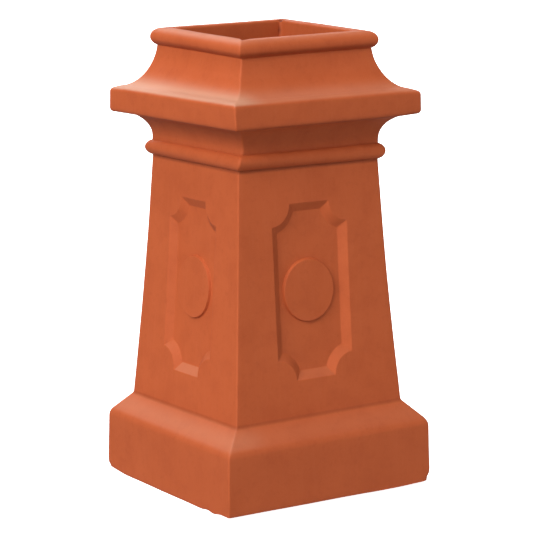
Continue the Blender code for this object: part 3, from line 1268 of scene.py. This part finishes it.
@dataclass
class Studio:
    """A bright white sweep under broad soft lights, seen through a long lens from the front left.

    The sweep glows, so that it shows no shadow, and the light that it would throw back comes from the lower
    half of the sky.
    """

    yaw: float = -0.57352
    pitch: float = 0.18236
    roll: float = -0.00916
    aside: float = 0.00392
    above: float = 0.32067
    distance: float = 3.79365
    focal_pixels: float = 2461.56
    floor_half: float = 30.0
    floor_colour: str = "#FFFFFF"
    floor_glow: float = 1.0
    sky_strength: float = 0.02
    ground_strength: float = 0.44
    horizon: Limits = (-0.05, 0.05)
    lamps: tuple[Lamp, ...] = (
        Lamp("key_left", azimuth=285, elevation=30, width=34, strength=2.45),
        Lamp("key_front_left", azimuth=315, elevation=30, width=34, strength=0.95),
        Lamp("top_left", azimuth=216, elevation=72, width=34, strength=1.0),
        Lamp("top_front", azimuth=0, elevation=52, width=34, strength=0.62),
        Lamp("low_front", azimuth=26, elevation=8, width=34, strength=0.40),
        Lamp("back", azimuth=165, elevation=30, width=34, strength=1.65),
    )

    def build(self) -> None:
        """Make the camera, the lights, the sky and the floor."""
        self._camera()
        self._floor()
        self._sky()
        for lamp in self.lamps:
            self._lamp(lamp)
        bpy.context.scene.view_settings.view_transform = "Standard"

    def _camera(self) -> None:
        """Place the camera where the photo's perspective puts it."""
        back = Vector((math.sin(self.yaw) * math.cos(self.pitch), -math.cos(self.yaw) * math.cos(self.pitch),
                       math.sin(self.pitch)))
        right = Vector((math.cos(self.yaw), math.sin(self.yaw), 0.0))
        up = back.cross(right)
        turned_right = math.cos(self.roll) * right + math.sin(self.roll) * up
        turned_up = math.cos(self.roll) * up - math.sin(self.roll) * right
        data = bpy.data.cameras.new("camera")
        data.sensor_width = SENSOR_MM
        data.lens = self.focal_pixels / IMAGE_PIXELS * SENSOR_MM
        camera = bpy.data.objects.new("camera", data)
        bpy.context.scene.collection.objects.link(camera)
        place = back * self.distance + right * self.aside + up * self.above
        matrix = Matrix((turned_right, turned_up, back)).transposed().to_4x4()
        camera.matrix_world = Matrix.Translation(place) @ matrix
        bpy.context.scene.camera = camera

    def _floor(self) -> None:
        """Lay a plain pale floor that fills the view and throws no light back on the pot."""
        mesh_edit = bmesh.new()
        bmesh.ops.create_grid(mesh_edit, x_segments=1, y_segments=1, size=self.floor_half)
        floor = new_object("studio_floor", mesh_edit)
        # Matte white paint that glows, so it looks pure white and takes no shadow
        paint = bpy.data.materials.new("matte_white_sweep")
        paint.use_nodes = True
        shader = paint.node_tree.nodes["Principled BSDF"]
        shader.inputs["Base Color"].default_value = linear_colour(self.floor_colour)
        shader.inputs["Roughness"].default_value = 1.0
        shader.inputs["Specular IOR Level"].default_value = 0.0
        shader.inputs["Emission Color"].default_value = linear_colour(self.floor_colour)
        shader.inputs["Emission Strength"].default_value = self.floor_glow
        floor.data.materials.append(paint)
        floor.visible_diffuse = False
        floor.visible_glossy = False

    def _sky(self) -> None:
        """Fill the studio with even white light, stronger from below than from above."""
        world = bpy.data.worlds.new("studio")
        world.use_nodes = True
        tree = world.node_tree
        background = tree.nodes["Background"]
        direction = add(tree, "ShaderNodeTexCoord", output="Generated")
        height = add(tree, "ShaderNodeSeparateXYZ", {"Vector": direction}, output="Z")
        low, high = self.horizon
        limits = {"Value": height, "From Min": low, "From Max": high, "To Min": self.ground_strength,
                  "To Max": self.sky_strength}
        strength = add(tree, "ShaderNodeMapRange", limits)
        background.inputs["Color"].default_value = (1.0, 1.0, 1.0, 1.0)
        tree.links.new(strength, background.inputs["Strength"])
        bpy.context.scene.world = world

    @staticmethod
    def _lamp(lamp: Lamp) -> None:
        """Hang one far soft light.

        Args:
            lamp: The light.
        """
        data = bpy.data.lights.new(lamp.name, "SUN")
        data.energy = lamp.strength
        data.angle = math.radians(lamp.width)
        data.color = linear_colour(lamp.colour)[:3]
        light = bpy.data.objects.new(lamp.name, data)
        bpy.context.scene.collection.objects.link(light)
        rise, turn = math.radians(lamp.elevation), math.radians(lamp.azimuth)
        towards = Vector((math.cos(rise) * math.sin(turn), -math.cos(rise) * math.cos(turn), math.sin(rise)))
        light.rotation_euler = towards.to_track_quat("Z", "Y").to_euler()


def painted_shade_bands(sizes: Sizes) -> tuple[Band, ...]:
    """Say where painted shade darkens the clay.

    Args:
        sizes: The regular form's sizes.

    Returns:
        Painted shade in the creases under the shaft, under and over the bead, under the slab and under the
        roll, then on the pot's lower part and its inside.
    """
    return (
        Band(sizes.splay_top, reach=0.0050, share=0.34),
        Band(sizes.shaft_top - 0.0015, reach=0.0045, share=0.45),
        Band(2 * sizes.bead_level - sizes.shaft_top, reach=0.0030, share=0.12),
        Band(sizes.soffit, reach=0.0040, share=0.25),
        Band(sizes.roll_level - 0.0080, reach=0.0060, share=0.38),
        Band(0.065, reach=0.13, share=0.10),
        Band(INSIDE_LEVEL, reach=0.5, share=0.12),
    )


def dust_and_highlight_bands(sizes: Sizes) -> tuple[Band, ...]:
    """Say where a pale colour lies, partly a dusty film and partly a painted highlight.

    Args:
        sizes: The regular form's sizes.

    Returns:
        The splay, the lower edges of the panels, the slab's ledge and the crown of the roll.
    """
    return (
        Band(sizes.plinth_height + 0.014, reach=0.028, share=0.50),
        Band(0.190, reach=0.045, share=1.00),
        Band(sizes.slab_top + 0.004, reach=0.024, share=0.90),
        Band(sizes.top, reach=0.018, share=0.60),
    )


def main() -> None:
    """Build the pot and its studio, and report each piece."""
    logging.basicConfig(level=logging.INFO, format="%(name)s: %(message)s")
    sizes = Sizes()
    clay = Terracotta(painted_shade_bands(sizes), dust_and_highlight_bands(sizes)).material()
    pot = ChimneyPot(sizes).build(clay)
    triangles = sum(len(face.vertices) - 2 for face in pot.data.polygons)
    LOG.info("%s: %d triangles", pot.name, triangles)
    Studio().build()


if __name__ == "__main__":
    main()
